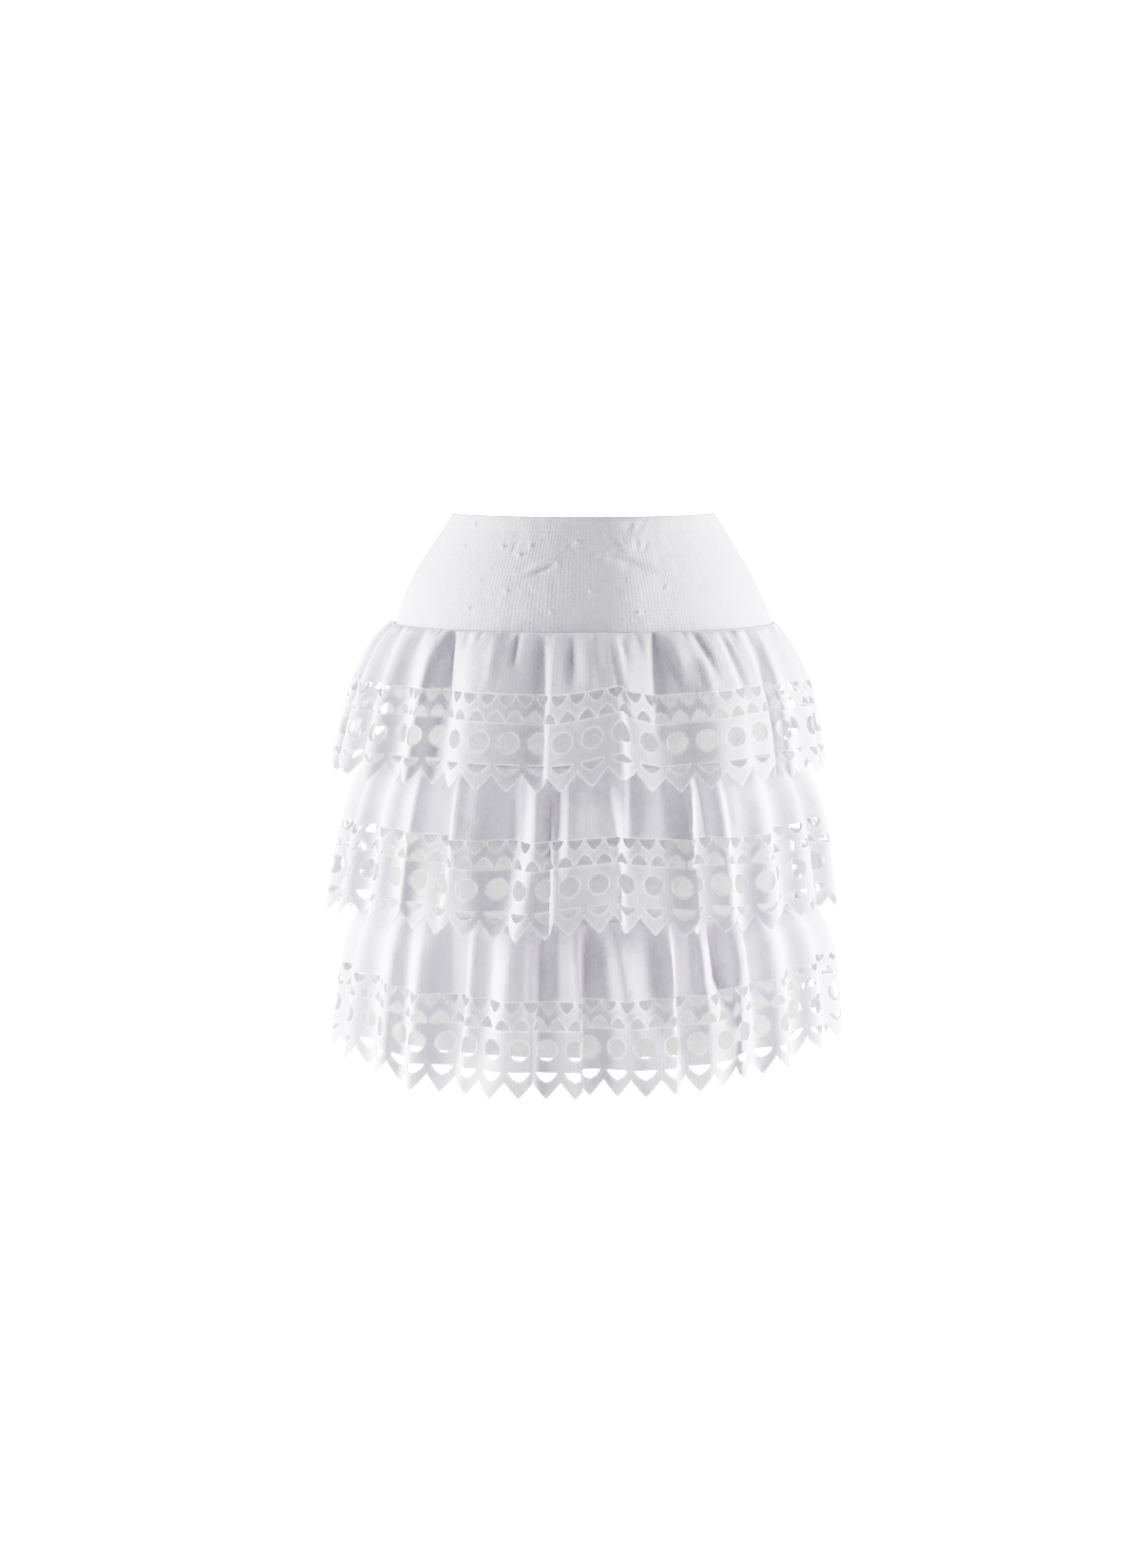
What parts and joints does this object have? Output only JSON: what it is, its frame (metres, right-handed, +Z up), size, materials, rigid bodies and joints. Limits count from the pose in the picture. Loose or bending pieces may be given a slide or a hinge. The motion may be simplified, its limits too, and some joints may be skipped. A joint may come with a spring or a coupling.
{
  "type": "skater skirt",
  "caption": "White knitted skater skirt, filled out as worn: smooth stretch yoke, underskirt and three gathered tiers with cutwork borders and zigzag hems.",
  "frame": {"origin": "middle of the waist opening, in the plane of the front waist edge, where the wearer's waist holds it", "axes": "+Z up along the body, -Y the front, -X the left side seen from the front"},
  "size_m": [0.4833, 0.3706, 0.5148],
  "materials": {
    "yoke_knit": "smooth dense double knit, matt",
    "tier_knit": "fine knit, matt, cut edges left raw",
    "base_knit": "plain knit, matt"
  },
  "bodies": {
    "root": {"base_back": "base_knit", "base_front": "base_knit", "tier_1_back": "tier_knit", "tier_1_front": "tier_knit", "tier_2_back": "tier_knit", "tier_2_front": "tier_knit", "tier_3_back": "tier_knit", "tier_3_front": "tier_knit", "yoke_back": "yoke_knit", "yoke_front": "yoke_knit"}
  },
  "joints": []
}
